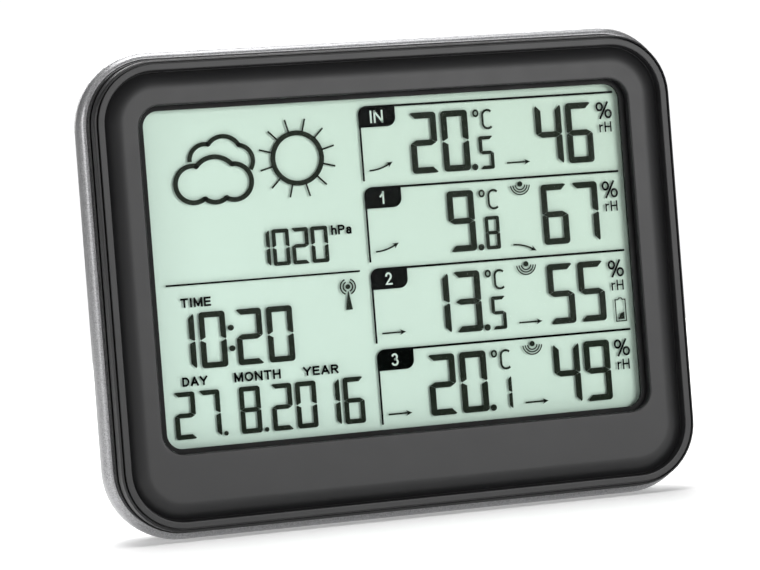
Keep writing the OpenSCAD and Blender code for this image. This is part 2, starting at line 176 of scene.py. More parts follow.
def outward(shape):
    """The shape with all its faces turned over if its volume comes out negative."""
    points, faces = shape
    fans = [(face[0], face[i], face[i + 1]) for face in faces for i in range(1, len(face) - 1)]
    a, b, c = np.transpose(points[np.array(fans)], (1, 0, 2))
    if np.einsum("ij,ij->", a, np.cross(b, c)) < 0:
        faces = [face[::-1] for face in faces]
    return points, faces


def skin(grid, ring=False):
    """Shape over rows of points: each row closes on itself, and the first and the last row are
    capped, or joined to each other in a ring, which makes a frame with a window in it."""
    rows, columns = grid.shape[:2]
    points = grid.reshape(-1, 3)
    faces = grid_faces(rows, columns, ring)
    if not ring:
        faces.append(list(range(columns)))
        faces.append(list(range(len(points) - 1, len(points) - columns - 1, -1)))
    return outward((points, faces))


def joined(shapes):
    """One shape from several: all their points in a row, each one's faces counted on."""
    points = []
    faces = []
    count = 0
    for some, rows in shapes:
        points.append(some)
        faces.extend([[number + count for number in row] for row in rows])
        count += len(some)
    return np.concatenate(points), faces


def corner_outline(x0, x1, z0, z1, radius, corner=14, side=6):
    """Rectangle with quarter-circle corners, anticlockwise from the front, as x and z columns.
    Every outline has the same number of points on each corner and side, so outlines pair up."""
    turn = np.linspace(0.0, np.pi / 2, corner)
    arcs = []
    for x, z, start in ((x1 - radius, z1 - radius, 0.0), (x0 + radius, z1 - radius, 1.0),
                        (x0 + radius, z0 + radius, 2.0), (x1 - radius, z0 + radius, 3.0)):
        angle = turn + start * np.pi / 2
        arcs.append(np.stack([x + radius * np.cos(angle), z + radius * np.sin(angle)], 1))
    share = np.linspace(0.0, 1.0, side + 2)[1:-1, None]
    rows = []
    for i in range(4):
        rows.append(arcs[i])
        rows.append(arcs[i][-1] * (1 - share) + arcs[(i + 1) % 4][0] * share)
    return np.concatenate(rows)


def grown_outline(by, x0, x1, z0, z1, radius, corner=9, side=3):
    """A rounded rectangle's outline, grown outwards by a distance."""
    return corner_outline(x0 - by, x1 + by, z0 - by, z1 + by, radius + by, corner, side)


def ring_outline(reach, low=None):
    """The front ring's outline moved outwards by reach, and by low at its bottom edge."""
    low = reach if low is None else low
    return corner_outline(-RING_HALF_W - reach, RING_HALF_W + reach, RING_LOW - low,
                          RING_HIGH + reach, max(4.0, RING_RADIUS + reach))


def oval(x, z, wide, tall, start, end, count=12):
    """Points along an arc of an ellipse, anticlockwise when end is above start, in degrees."""
    angle = np.radians(np.linspace(start, end, count))
    return [(x + wide * a, z + tall * b) for a, b in zip(np.cos(angle), np.sin(angle))]


def at_depth(outline, depth):
    """Points of a flat outline laid at one depth."""
    return np.stack([outline[:, 0], np.full(len(outline), FRONT_Y + depth), outline[:, 1]], 1)


def stacked(sections, ring=False):
    """Shape through outlines, each with its depth."""
    return skin(np.stack([at_depth(outline, depth) for depth, outline in sections]), ring)


def plate(outline, d0, d1):
    """Flat plate of a given outline between two depths."""
    return stacked([(d0, np.asarray(outline, float)), (d1, np.asarray(outline, float))])


def box(x0, x1, d0, d1, z0, z1):
    """Plain block between two X, two depth and two Z values."""
    return plate([(x0, z0), (x1, z0), (x1, z1), (x0, z1)], d0, d1)


def lathe(profile, centre, axis, count=40):
    """Round body: a profile of (distance along the axis, radius) turned once round the axis,
    which is "x" or "y". The centre is the X, depth and Z from which the distances count."""
    profile = np.asarray(profile, float)
    angle = np.linspace(0.0, 2 * np.pi, count, endpoint=False)
    along = np.repeat(profile[:, :1], count, 1)
    across = profile[:, 1:] * np.cos(angle)
    upward = profile[:, 1:] * np.sin(angle)
    x, depth, z = centre
    if axis == "x":
        grid = np.stack([x + along, FRONT_Y + depth + across, z + upward], -1)
    else:
        grid = np.stack([x + across, FRONT_Y + depth + along, z + upward], -1)
    return skin(grid)


def rod_x(x0, x1, depth, z, radius, count=40):
    """Cylinder along X."""
    return lathe([(0, radius), (x1 - x0, radius)], (x0, depth, z), "x", count)


def rod_y(x, z, radius, d0, d1, count=40):
    """Cylinder along Y between two depths."""
    return lathe([(0, radius), (d1 - d0, radius)], (x, d0, z), "y", count)


def coil(x0, x1, depth, z, wide, narrow, wire, turns, steps=28, sides=8):
    """Round wire wound along X, while the winding's radius goes evenly from wide to narrow."""
    share = np.linspace(0.0, 1.0, int(turns * steps) + 1)
    angle = 2 * np.pi * turns * share
    radius = wide + (narrow - wide) * share
    away = np.stack([np.zeros_like(angle), np.cos(angle), np.sin(angle)], 1)
    middle = np.array([0.0, FRONT_Y + depth, z]) + away * radius[:, None]
    middle[:, 0] = x0 + (x1 - x0) * share
    around = np.linspace(0.0, 2 * np.pi, sides, endpoint=False)
    along = np.array([1.0, 0.0, 0.0])
    grid = middle[:, None] + wire * (np.cos(around)[None, :, None] * away[:, None]
                                     + np.sin(around)[None, :, None] * along)
    return skin(grid)


def mesh_of(name, shape, scale=1.0):
    """Mesh of a shape, with its points scaled."""
    points, faces = shape
    mesh = bpy.data.meshes.new(name)
    mesh.from_pydata((points * scale).tolist(), [], faces)
    return mesh


def make_piece(name, shape, material, body="root", stands_for=()):
    """Makes a shape a mesh in metres, and finishes it as a piece."""
    finish_piece(name, mesh_of(name, shape, MM), material, body, stands_for)


def finish_piece(name, mesh, material, body, stands_for):
    """Makes a mesh a piece, with smooth faces, a material, a body and the nodes it stands for."""
    mesh.validate()
    mesh.shade_smooth()
    mesh.set_sharp_from_angle(angle=np.radians(CREASE))
    mesh.materials.clear()
    mesh.materials.append(material)
    piece = added(name, mesh)
    weighted = piece.modifiers.new("even_shading", "WEIGHTED_NORMAL")
    weighted.keep_sharp = True
    weighted.weight = 60
    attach(piece, body)
    if stands_for:
        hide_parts(*stands_for)


def carve(name, base, steps):
    """Mesh in metres of a base shape after steps of ("UNION" or "DIFFERENCE", shapes)."""
    block = added(name + "_block", mesh_of(name + "_block", base))
    helpers = []
    groups = []
    for number, (operation, shapes) in enumerate(steps):
        group = bpy.data.collections.new(f"{name}_tools_{number}")
        bpy.context.scene.collection.children.link(group)
        groups.append(group)
        for shape in shapes:
            tool = bpy.data.objects.new(name + "_tool", mesh_of(name + "_tool", shape))
            group.objects.link(tool)
            helpers.append(tool)
        cut = block.modifiers.new("cut", "BOOLEAN")
        cut.operation = operation
        cut.solver = "EXACT"
        cut.operand_type = "COLLECTION"
        cut.collection = group
    bpy.context.view_layer.update()
    graph = bpy.context.evaluated_depsgraph_get()
    mesh = bpy.data.meshes.new_from_object(block.evaluated_get(graph))
    for tool in helpers + [block]:
        bpy.data.objects.remove(tool)
    for group in groups:
        bpy.data.collections.remove(group)
    clean = bmesh.new()
    clean.from_mesh(mesh)
    bmesh.ops.remove_doubles(clean, verts=clean.verts, dist=0.002)
    bmesh.ops.dissolve_degenerate(clean, edges=clean.edges, dist=0.001)
    bmesh.ops.scale(clean, verts=clean.verts, vec=(MM, MM, MM))
    clean.to_mesh(mesh)
    clean.free()
    return mesh


# ---------- Finishes ----------

def tone(code):
    """Linear colour of a six-digit sRGB code."""
    shares = np.array([int(code[i:i + 2], 16) for i in (0, 2, 4)]) / 255.0
    linear = np.where(shares <= 0.04045, shares / 12.92, ((shares + 0.055) / 1.055) ** 2.4)
    return (*linear.tolist(), 1.0)


class Finish:
    """A procedural material on Object coordinates, built up by short calls."""

    def __init__(self, name, metal=0.0, gloss=0.5):
        self.material = bpy.data.materials.new(name)
        self.material.use_nodes = True
        self.tree = self.material.node_tree
        self.shader = self.tree.nodes["Principled BSDF"]
        self.shader.inputs["Metallic"].default_value = metal
        self.shader.inputs["Specular IOR Level"].default_value = gloss
        self.place = self.node("ShaderNodeTexCoord").outputs["Object"]

    def node(self, kind, **values):
        """Adds a node and sets inputs by name, with an underscore for each space."""
        made = self.tree.nodes.new(kind)
        for key, value in values.items():
            made.inputs[key.replace("_", " ")].default_value = value
        return made

    def link(self, start, end):
        self.tree.links.new(start, end)

    def noise(self, size, detail=3.0):
        """Cloudy noise whose patches are about size millimetres across."""
        made = self.node("ShaderNodeTexNoise", Scale=1.0 / (size * MM), Detail=detail,
                         Roughness=0.55)
        self.link(self.place, made.inputs["Vector"])
        return made.outputs["Fac"]

    def flakes(self, size):
        """One random level per flake, each about size millimetres across."""
        made = self.node("ShaderNodeTexVoronoi", Scale=1.0 / (size * MM))
        self.link(self.place, made.inputs["Vector"])
        split = self.node("ShaderNodeSeparateColor")
        self.link(made.outputs["Color"], split.inputs["Color"])
        return split.outputs["Red"]

    def spread(self, value, low, high, start=0.3, end=0.7):
        """The value from start to end, spread over low to high."""
        made = self.node("ShaderNodeMapRange", From_Min=start, From_Max=end, To_Min=low,
                         To_Max=high)
        self.link(value, made.inputs["Value"])
        return made.outputs["Result"]

    def blend(self, share, first, second):
        """A colour between two, which are codes or sockets, by share."""
        made = self.tree.nodes.new("ShaderNodeMix")
        made.data_type = "RGBA"
        self.link(share, made.inputs[0])
        for socket, colour in ((made.inputs[6], first), (made.inputs[7], second)):
            if isinstance(colour, str):
                socket.default_value = tone(colour)
            else:
                self.link(colour, socket)
        return made.outputs[2]

    def axis(self, name):
        """One of the Object coordinates, in metres."""
        made = self.node("ShaderNodeSeparateXYZ")
        self.link(self.place, made.inputs["Vector"])
        return made.outputs[name]

    def relief(self, height, depth):
        """Bumps of the given depth in millimetres, on top of those made before."""
        made = self.node("ShaderNodeBump", Distance=depth * MM, Strength=1.0)
        self.link(height, made.inputs["Height"])
        last = self.shader.inputs["Normal"].links
        if last:
            self.link(last[0].from_socket, made.inputs["Normal"])
        self.link(made.outputs["Normal"], self.shader.inputs["Normal"])

    def colour(self, socket):
        self.link(socket, self.shader.inputs["Base Color"])

    def roughness(self, socket):
        self.link(socket, self.shader.inputs["Roughness"])


def moulded(name, dark, light, grain, depth, rough, metal=0.0, gloss=0.5, patch=14.0,
            uneven=0.05, ripple=0.0):
    """Plain finish: two near tones in soft patches, a roughness that varies by uneven to both
    sides, a fine grain, and ripples if any. Patch and grain sizes and both depths are in
    millimetres."""
    finish = Finish(name, metal, gloss)
    finish.colour(finish.blend(finish.spread(finish.noise(patch), 0.0, 1.0), dark, light))
    finish.roughness(finish.spread(finish.noise(patch * 0.4), rough - uneven, rough + uneven))
    finish.relief(finish.noise(grain, detail=2.0), depth)
    if ripple:
        finish.relief(finish.noise(1.6, detail=1.0), ripple)
    return finish.material


def silver_flake():
    """Silver paint: metal flakes of random level under a smooth coat."""
    finish = Finish("silver_flake", metal=0.75, gloss=0.5)
    level = finish.flakes(0.16)
    patch = finish.spread(finish.noise(9.0), 0.0, 1.0)
    base = finish.blend(patch, "858586", "8e8e8f")
    finish.colour(finish.blend(finish.spread(level, 0.0, 1.0, 0.0, 1.0), base, "bdbdbf"))
    finish.roughness(finish.spread(level, 0.3, 0.46, 0.0, 1.0))
    finish.relief(level, 0.015)
    finish.relief(finish.noise(2.5, detail=1.0), 0.01)
    return finish.material


def mint_reflector():
    """Satin film behind the glass: pale mint, with painted shade that makes it slowly darker up to
    the right.
    """
    finish = Finish("mint_reflector", gloss=0.2)
    # Painted shade: along this slant the mint darkens up to the right, standing in for light
    # falling off across the display.
    rise = finish.node("ShaderNodeVectorMath")
    rise.operation = "DOT_PRODUCT"
    rise.inputs[1].default_value = (5.0, 0.0, 6.5)
    finish.link(finish.place, rise.inputs[0])
    painted_shade_drift = finish.spread(rise.outputs["Value"], 0.0, 1.0, 0.05, 0.85)
    base = finish.blend(painted_shade_drift, "dbe7e2", "cdd8cf")
    finish.colour(finish.blend(finish.spread(finish.noise(0.35), 0.0, 0.35), base, "d8e5de"))
    finish.roughness(finish.spread(finish.noise(0.5), 0.5, 0.6))
    finish.relief(finish.noise(0.3), 0.004)
    return finish.material


def clear_pane(name, mirror):
    """Thin glass: light goes straight through, apart from the faint share that it mirrors."""
    finish = Finish(name)
    tree = finish.tree
    tree.nodes.remove(finish.shader)
    clear = finish.node("ShaderNodeBsdfTransparent")
    clear.inputs["Color"].default_value = (0.985, 1.0, 0.99, 1.0)
    shine = finish.node("ShaderNodeBsdfGlossy")
    finish.link(finish.spread(finish.noise(25.0), 0.05, 0.08), shine.inputs["Roughness"])
    edge = finish.node("ShaderNodeFresnel", IOR=mirror)
    mix = finish.node("ShaderNodeMixShader")
    finish.link(edge.outputs["Fac"], mix.inputs[0])
    finish.link(clear.outputs["BSDF"], mix.inputs[1])
    finish.link(shine.outputs["BSDF"], mix.inputs[2])
    finish.link(mix.outputs["Shader"], tree.nodes["Material Output"].inputs["Surface"])
    return finish.material


def circuit_board():
    """Green solder mask over tracks: the edges of coarse cells show as paler lines."""
    finish = Finish("circuit_board", gloss=0.5)
    cells = finish.node("ShaderNodeTexVoronoi", Scale=1.0 / (3.2 * MM))
    cells.distance = "MANHATTAN"
    cells.feature = "DISTANCE_TO_EDGE"
    finish.link(finish.place, cells.inputs["Vector"])
    track = finish.spread(cells.outputs["Distance"], 1.0, 0.0, 0.04, 0.09)
    finish.colour(finish.blend(track, "1b5a34", "3f8f52"))
    finish.roughness(finish.spread(finish.noise(2.0), 0.3, 0.42))
    finish.relief(track, 0.03)
    return finish.material


def striped_rubber():
    """Elastomer bar: thin dark conducting layers between clear pink ones, along X."""
    finish = Finish("striped_rubber", gloss=0.4)
    bands = finish.node("ShaderNodeTexWave", Scale=1.0 / (1.6 * MM), Distortion=0.0)
    finish.link(finish.place, bands.inputs["Vector"])
    finish.colour(finish.blend(bands.outputs["Fac"], "3a2a38", "b58aae"))
    finish.roughness(finish.spread(finish.noise(1.0), 0.4, 0.55))
    return finish.material


def cell_jacket(name, side):
    """Printed cell sleeve with no lettering: charcoal, with an amber band at the button end.
    The side is 1 when the button points to +X, and -1 when it points to -X."""
    finish = Finish(name, metal=0.35, gloss=0.5)
    band = finish.spread(finish.axis("X"), 0.0, 1.0, side * 0.0118, side * 0.0121)
    wear = finish.spread(finish.noise(4.0), 0.0, 0.25)
    base = finish.blend(band, "26282c", "c47a26")
    finish.colour(finish.blend(wear, base, "8a8680"))
    finish.roughness(finish.spread(finish.noise(1.5), 0.26, 0.36))
    finish.relief(finish.noise(6.0), 0.02)
    return finish.material


CHARCOAL = moulded("soft_touch_charcoal", "1a1a1b", "1c1c1d", 0.22, 0.012, 0.42, gloss=0.38,
                   uneven=0.012, ripple=0.003)
SILVER = silver_flake()
MINT = mint_reflector()
FRONT_GLASS = clear_pane("front_glass_clear", 1.05)
REAR_GLASS = clear_pane("rear_glass_clear", 1.04)
BOARD = circuit_board()
STRIPES = striped_rubber()
UPPER_JACKET = cell_jacket("upper_cell_jacket", 1)
LOWER_JACKET = cell_jacket("lower_cell_jacket", -1)
BLACK = moulded("black_moulding", "060606", "0a0a0b", 0.3, 0.01, 0.5, gloss=0.15)
BUTTON_GREY = moulded("button_rubber", "2f3031", "363738", 0.25, 0.012, 0.55)
EPOXY = moulded("epoxy_black", "0b0b0d", "141417", 2.5, 0.06, 0.22)
NICKEL = moulded("nickel_plate", "b9bcc0", "c9ccd0", 0.8, 0.006, 0.25, metal=1.0)
SLEEVE = moulded("capacitor_sleeve", "1b2f5c", "243c70", 1.0, 0.01, 0.35)
COPPER = moulded("enamelled_copper", "8f4f22", "a55e2b", 0.8, 0.01, 0.3, metal=0.9)
FERRITE = moulded("ferrite_grey", "242427", "303034", 0.4, 0.03, 0.6)
WHITE = moulded("white_moulding", "dcdad2", "e6e4dd", 0.5, 0.012, 0.45)
LEAD = moulded("lead_red", "9c1d17", "b1261f", 0.8, 0.012, 0.4)
STEEL = moulded("screw_steel", "9ea1a5", "b2b5b9", 0.5, 0.01, 0.32, metal=1.0)
RUBBER = moulded("foot_rubber", "161617", "1e1e1f", 0.35, 0.03, 0.75, gloss=0.3)
INK = moulded("segment_ink", "20261f", "262c25", 0.8, 0.002, 0.6, gloss=0.0, patch=2.5)
PRINT = moulded("legend_print", "030504", "050706", 0.8, 0.002, 0.6, gloss=0.0, patch=3.0)
PALE = moulded("pale_print", "c9d8cf", "d4e0d9", 0.8, 0.002, 0.5, gloss=0.2, patch=3.0)
MARK = moulded("mark_print", "b9bbbc", "c6c8c9", 0.5, 0.004, 0.5, gloss=0.3, patch=3.0)


# ---------- Front bezel ----------

def window_outline(grow):
    """The window's outline, grown outwards."""
    return grown_outline(grow, *WINDOW, corner=14, side=6)


def bezel_loop(reach):
    """The ring's outline moved by reach, with its bottom edge a little lower."""
    return ring_outline(reach, reach + 0.42)


# Reach and depth along the ring, its groove, the flared side, the thin lip and the hidden skirt.
EDGE_PROFILE = (
    (-2.02, 2.2), (-1.96, 2.0), (-1.86, 0.4), (-1.82, 0.16), (-1.74, 0.04), (-1.62, 0.0),
    (-1.5, 0.0), (-0.55, 0.0), (-0.42, 0.0), (-0.36, 0.03), (-0.32, 0.12), (-0.3, 0.9),
    (-0.24, 1.0), (-0.06, 1.0), (-0.02, 0.85), (0.0, 0.22), (0.02, 0.16), (0.08, 0.14),
    (0.35, 0.34), (0.42, 0.44), (0.46, 0.7), (0.62, 3.3), (0.62, 3.45), (0.54, 3.55), (0.2, 3.62),
    (0.2, 5.0), (0.3, 5.0), (0.66, 4.5), (0.74, 4.42), (0.86, 4.42), (0.95, 4.5), (0.98, 4.62),
    (0.96, 4.8), (0.8, 4.92), (0.6, 5.1), (0.6, 5.4), (0.3, 5.4), (0.3, 9.0), (-1.3, 9.0),
    (-1.3, 3.0),
)


def front_bezel():
    """Frame with a window: the window's wall and its round edge, the flat face, a fall into the
    valley as depth = FLAT_DEPTH + VALLEY_FALL * (1 - share)^2, and the profile of the edge."""
    edge = 0.4
    sections = [(3.0, window_outline(0.0)), (1.5, window_outline(0.0))]
    for angle in np.linspace(0.0, np.pi / 2, 7):
        sections.append((FLAT_DEPTH + edge * (1 - np.sin(angle)),
                         window_outline(edge * (1 - np.cos(angle)))))
    inner, outer = window_outline(edge), bezel_loop(-6.2)
    for share in (0.08, 0.5, 0.92):
        sections.append((FLAT_DEPTH, inner * (1 - share) + outer * share))
    for share in np.linspace(1.0, 0.0, 16):
        sections.append((FLAT_DEPTH + VALLEY_FALL * (1 - share) ** 2,
                         bezel_loop(-2.12 - 4.08 * share)))
    for reach, depth in EDGE_PROFILE:
        sections.append((depth, bezel_loop(reach)))
    return stacked(sections, ring=True)


make_piece("bezel_moulding", front_bezel(), CHARCOAL, stands_for=["front_bezel"])


# ---------- Rear cover ----------

def cover_skin():
    """Outside of the cover: a sloped face behind the bezel, a rolled front edge, a short straight
    band to depth 9.2, and a pillow whose reach falls as a quarter ellipse. The base stays flat to
    depth 19, then falls as an ellipse of its own."""
    sections = [(6.5, ring_outline(0.3)), (6.5, ring_outline(1.02)), (5.8, ring_outline(1.22))]
    for angle in np.linspace(0.0, np.pi / 2, 13):
        sections.append((5.65 + 2.95 * (1 - np.cos(angle)),
                         ring_outline(1.3 + 1.7 * np.sin(angle))))
    for angle in np.linspace(0.0, np.pi / 2, 27):
        depth = 9.2 + 16.8 * np.sin(angle)
        reach = -13.0 + 16.0 * np.cos(angle)
        fall = np.sqrt(max(0.0, 1.0 - (max(depth - 19.0, 0.0) / 7.0) ** 2))
        sections.append((depth, ring_outline(reach, low=-8.0 + 11.0 * fall)))
    return stacked(sections)


def cover_hollow():
    """Inside of the cover, in steps: each one's end depth, its reach, and its reach at the base."""
    sections = []
    start = 4.7
    for end, reach, low in ((14.0, 0.6, 0.6), (19.0, -2.4, -0.2), (22.0, -7.5, -3.0),
                            (24.0, -14.0, -11.0)):
        outline = ring_outline(reach, low)
        sections += [(start, outline), (end, outline)]
        start = end
    return stacked(sections)


def well(x0, x1, z0, z1, radius, floor, lip=0.25):
    """Pocket cut in from the back to a floor depth. Its mouth has a bevel as deep as the lip, and
    none when the lip is negative."""
    mouth = (x0, x1, z0, z1, radius)
    return stacked([(floor, grown_outline(0.0, *mouth)), (BACK - lip, grown_outline(0.0, *mouth)),
                    (BACK + 1.0, grown_outline(lip + 1.0, *mouth))])


def rear_cover():
    """Cover with its bay walls and screw posts added, then every pocket, slot and hole cut."""
    walls = [box(-30, 30, 8.7, 24.05, 47.8, 80.6), box(-33.5, 33.5, 21.6, 24.05, 44.6, 82.7),
             box(-25.95, 25.95, 19.9, 24.05, 10, 44.4)]
    bay = [box(-28.8, 28.8, 9.7, 27, 49, 79.4), well(-30.75, 30.75, 46.8, 81.35, 1.0, 24.25, 0.15),
           box(-30.75, 30.75, 23.55, 27, 46.05, 49.2),
           rod_x(-32.35, 32.35, *DOOR_HINGE, 0.87, 20), well(-7, 7, 80.1, 83.5, 1.6, 24.7)]
    stand_pocket = [well(-22.95, 22.95, 7, 43.25, 1.0, 21.4, 0.35),
                    rod_x(-24.75, 24.75, *STAND_HINGE, 1.27, 20)]
    trough = [well(-50, -36, 30, 86, 5.0, 25.0, 0.4)]
    keyhole = [well(-3.99, 3.99, 86.01, 93.99, 3.98, 23.0, 0.3),
               well(-2.1, 2.1, 88, 98.5, 2.08, 23.0, 0.2)]
    cuts = bay + stand_pocket + trough + keyhole
    for z in (29.0, 87.0):
        walls.append(rod_y(BUTTON_X, z, 2.4, 17.65, 24.05, 24))
        cuts.append(rod_y(BUTTON_X, z, 0.85, 16.6, 23.0, 16))
    for z in sorted(BUTTON_HEIGHTS.values()):
        cuts.append(well(BUTTON_X - 4.25, BUTTON_X + 4.25, z - 2.75, z + 2.75, 2.73, 22.9, -0.75))
    for z in VENT_HEIGHTS:
        cuts.append(well(37, 51, z - 0.8, z + 0.8, 0.78, 22.9, 0.2))
    for x in CASE_SCREW_X:
        for z in CASE_SCREW_Z:
            walls.append(rod_y(x, z, 3.4, 12.3, 22.05, 24))
            cuts.append(rod_y(x, z, 1.35, 12.0, 26.0, 20))
            cuts.append(rod_y(x, z, 2.6, 14.4, 27.0, 28))
    return carve("rear_cover", cover_skin(),
                 [("DIFFERENCE", [cover_hollow()]), ("UNION", walls), ("DIFFERENCE", cuts)])


finish_piece("rear_cover_moulding", rear_cover(), SILVER, "root", ["rear_cover"])


# ---------- Stand, battery door and buttons ----------

def slab(x0, x1, z0, z1, radius, d0, d1, edge):
    """Rounded plate whose edges are rounded over by a quarter circle at both depths."""
    rows = [(edge * (1 - np.sin(a)), grown_outline(-edge * (1 - np.cos(a)), x0, x1, z0, z1, radius))
            for a in np.linspace(0.0, np.pi / 2, 5)]
    return stacked([(d0 + fall, outline) for fall, outline in rows[::-1]]
                   + [(d1 - fall, outline) for fall, outline in rows])


def stand():
    """Fold-out leg: a slab hung on a barrel, with a recessed panel, ribs and the foot's seat."""
    base = slab(-22.5, 22.5, 12, 41.6, 2.2, 22.9, 25.9, 0.4)
    hinge = [rod_x(-22.5, 22.5, *STAND_HINGE, 2.0), rod_x(-24.5, 24.5, *STAND_HINGE, 1.2, 28)]
    cuts = [slab(-17.5, 17.5, 20, 36, 2.0, 25.2, 28.0, 0.3),
            box(-13.05, 13.05, 21, 23.75, 12.95, 17.05)]
    ribs = [rod_x(-12, 12, 25.15, z, 0.45, 16) for z in (23.0, 25.0, 27.0)]
    return carve("stand", base, [("UNION", hinge), ("DIFFERENCE", cuts), ("UNION", ribs)])


finish_piece("stand_moulding", stand(), SILVER, "stand", ["stand"])


def battery_door():
    """Door slab on its barrel and pins, with grip grooves and an arrow sunk into the outside."""
    base = slab(-30.5, 30.5, 47.6, 81.1, 0.8, 24.4, 26.0, 0.25)
    hinge = [rod_x(-30.5, 30.5, *DOOR_HINGE, 1.1), rod_x(-32.1, 32.1, *DOOR_HINGE, 0.8, 24)]
    grooves = [rod_x(-6, 6, 26.1, 78.1 - 1.6 * i, 0.5, 20) for i in range(4)]
    arrow = plate([(-2.2, 70.6), (2.2, 70.6), (0.0, 67.4)], 25.6, 27.0)
    return carve("battery_door", base, [("UNION", hinge), ("DIFFERENCE", grooves + [arrow])])


finish_piece("battery_door_moulding", battery_door(), SILVER, "battery_door", ["battery_door"])


def ring_stroke(x, z, wide, tall, width, d0, d1, start=0.0, end=360.0, steps=40):
    """Arc of an ellipse drawn with a pen of the given width, between two depths."""
    path = oval(x, z, wide, tall, start, end, steps + 1)
    closed = abs(end - start) >= 360.0
    return pen(path[:-1] if closed else path, width, d0, d1, closed)


def pen(path, width, d0, d1, closed=False):
    """Flat stroke along a path in X and Z: the path is moved half a width to both sides along its
    normal, further at corners so that the width holds, and carried between two depths."""
    path = np.asarray(path, float)
    if closed:
        before, after = np.roll(path, 1, 0), np.roll(path, -1, 0)
    else:
        before = np.concatenate([2 * path[:1] - path[1:2], path[:-1]])
        after = np.concatenate([path[1:], 2 * path[-1:] - path[-2:-1]])

    def unit(rows):
        return rows / np.linalg.norm(rows, axis=1, keepdims=True)

    into, out = unit(path - before), unit(after - path)
    along = unit(into + out)
    normal = np.stack([-along[:, 1], along[:, 0]], 1)
    stretch = 1.0 / np.clip(np.sum(along * out, 1), 0.6, 1.0)
    offset = normal * (stretch * width / 2)[:, None]
    left, right = path + offset, path - offset
    return skin(np.stack([at_depth(left, d0), at_depth(right, d0), at_depth(right, d1),
                          at_depth(left, d1)], 1), ring=closed)


def button_cap(z):
    """Pill-shaped cap on its flange: straight sides, a rounded edge, and a shallow dish."""
    def pill(by):
        return grown_outline(by, BUTTON_X - 4, BUTTON_X + 4, z - 2.5, z + 2.5, 2.48, corner=12)

    flange = grown_outline(0.0, BUTTON_X - 5.2, BUTTON_X + 5.2, z - 3.7, z + 3.7, 2.0, corner=12)
    sections = [(22.6, flange), (23.6, flange), (23.6, pill(0.0)), (25.3, pill(0.0))]
    for angle in np.linspace(0.0, np.pi / 2, 6)[1:]:
        sections.append((25.3 + 0.4 * np.sin(angle), pill(-0.4 * (1 - np.cos(angle)))))
    for by, depth in ((-0.6, 25.69), (-1.0, 25.64), (-1.5, 25.57), (-2.0, 25.54), (-2.4, 25.53)):
        sections.append((depth, pill(by)))
    return stacked(sections)


def button_mark(kind, z):
    """Raised mark on a cap: a ring, a frame, a triangle up or down, or three bars."""
    d0, d1 = 25.45, 25.72
    if kind == "mode":
        return [ring_stroke(BUTTON_X, z, 0.9, 0.9, 0.35, d0, d1, steps=28)]
    if kind == "set":
        left, right = BUTTON_X - 0.9, BUTTON_X + 0.9
        return [pen([(left, z - 0.8), (right, z - 0.8), (right, z + 0.8), (left, z + 0.8)],
                    0.35, d0, d1, closed=True)]
    if kind == "channel":
        starts = [BUTTON_X - 1.2 + 0.95 * i for i in range(3)]
        return [box(start, start + 0.5, d0, d1, z - 0.8, z - 0.1 + 0.45 * i)
                for i, start in enumerate(starts)]
    sign = 1 if kind == "up" else -1
    corners = [(BUTTON_X - 1.0, z - 0.7 * sign), (BUTTON_X + 1.0, z - 0.7 * sign),
               (BUTTON_X, z + 0.9 * sign)]
    return [plate(corners[::sign], d0, d1)]


for kind, z in BUTTON_HEIGHTS.items():
    make_piece(f"{kind}_button_cap", button_cap(z), BUTTON_GREY, f"button_{kind}",
               [f"button_{kind}"])
    make_piece(f"{kind}_button_mark", joined(button_mark(kind, z)), MARK, f"button_{kind}")


# ---------- Cells, springs and windings ----------

# Distance from the flat end and radius: the sleeve, shrunk over both rims, the steel shoulder
# with the button, and the flat end's disc.
CELL_SLEEVE = [(0.0, 4.6), (0.0, 6.3), (0.12, 6.75), (0.35, 7.1), (0.8, 7.25), (48.2, 7.25),
               (48.7, 7.12), (49.0, 6.7), (49.0, 6.3)]
CELL_BUTTON = [(48.9, 5.0), (49.1, 6.2), (49.3, 5.6), (49.3, 2.9), (49.9, 2.75), (50.2, 2.6),
               (50.4, 2.1)]
CELL_DISC = [(0.0, 4.2), (0.05, 4.8), (0.3, 4.9)]


def cell_part(profile, place, count):
    """Round part of the upper cell, or of the lower one, whose button points to -X."""
    rows = np.array(profile)
    if place == "upper":
        return lathe(rows, (-CELL_END, CELL_DEPTH, UPPER_CELL_Z), "x", count)
    return lathe(rows[::-1] * [-1, 1], (CELL_END, CELL_DEPTH, LOWER_CELL_Z), "x", count)


for place, jacket in (("upper", UPPER_JACKET), ("lower", LOWER_JACKET)):
    make_piece(f"{place}_cell_sleeve", cell_part(CELL_SLEEVE, place, 48), jacket,
               stands_for=[f"battery_{place}"])
    ends = [cell_part(CELL_BUTTON, place, 40), cell_part(CELL_DISC, place, 40)]
    make_piece(f"{place}_cell_steel", joined(ends), NICKEL)

springs = [coil(-28.0, -25.7, CELL_DEPTH, UPPER_CELL_Z, 4.1, 2.7, 0.35, 3.5),
           coil(28.0, 25.7, CELL_DEPTH, LOWER_CELL_Z, 4.1, 2.7, 0.35, 3.5)]
make_piece("contact_coils", joined(springs), NICKEL, stands_for=["contact_springs"])
make_piece("aerial_winding", coil(-11.8, 11.8, 15, 15, 4.47, 4.47, 0.36, 32, 20, 6), COPPER,
           stands_for=["time_antenna_coil"])
make_piece("receiver_winding", coil(40.4, 53.6, 15.3, 41, 2.2, 2.2, 0.38, 11, 24, 8), COPPER,
           stands_for=["receiver_antenna"])


# ---------- Display artwork ----------

ART_X = 0.31
ART_Z = MIDDLE_Z - 0.08
ART_FRONT = 4.86
ART_REAR = 4.89
ROW_PITCH = 18.37  # from one row of temperatures down to the next
LIT = {" ": "", "0": "abcdef", "1": "bc", "2": "abdeg", "3": "abcdg", "4": "bcfg",
       "5": "acdfg", "6": "acdefg", "7": "abc", "8": "abcdefg", "9": "abcdfg"}


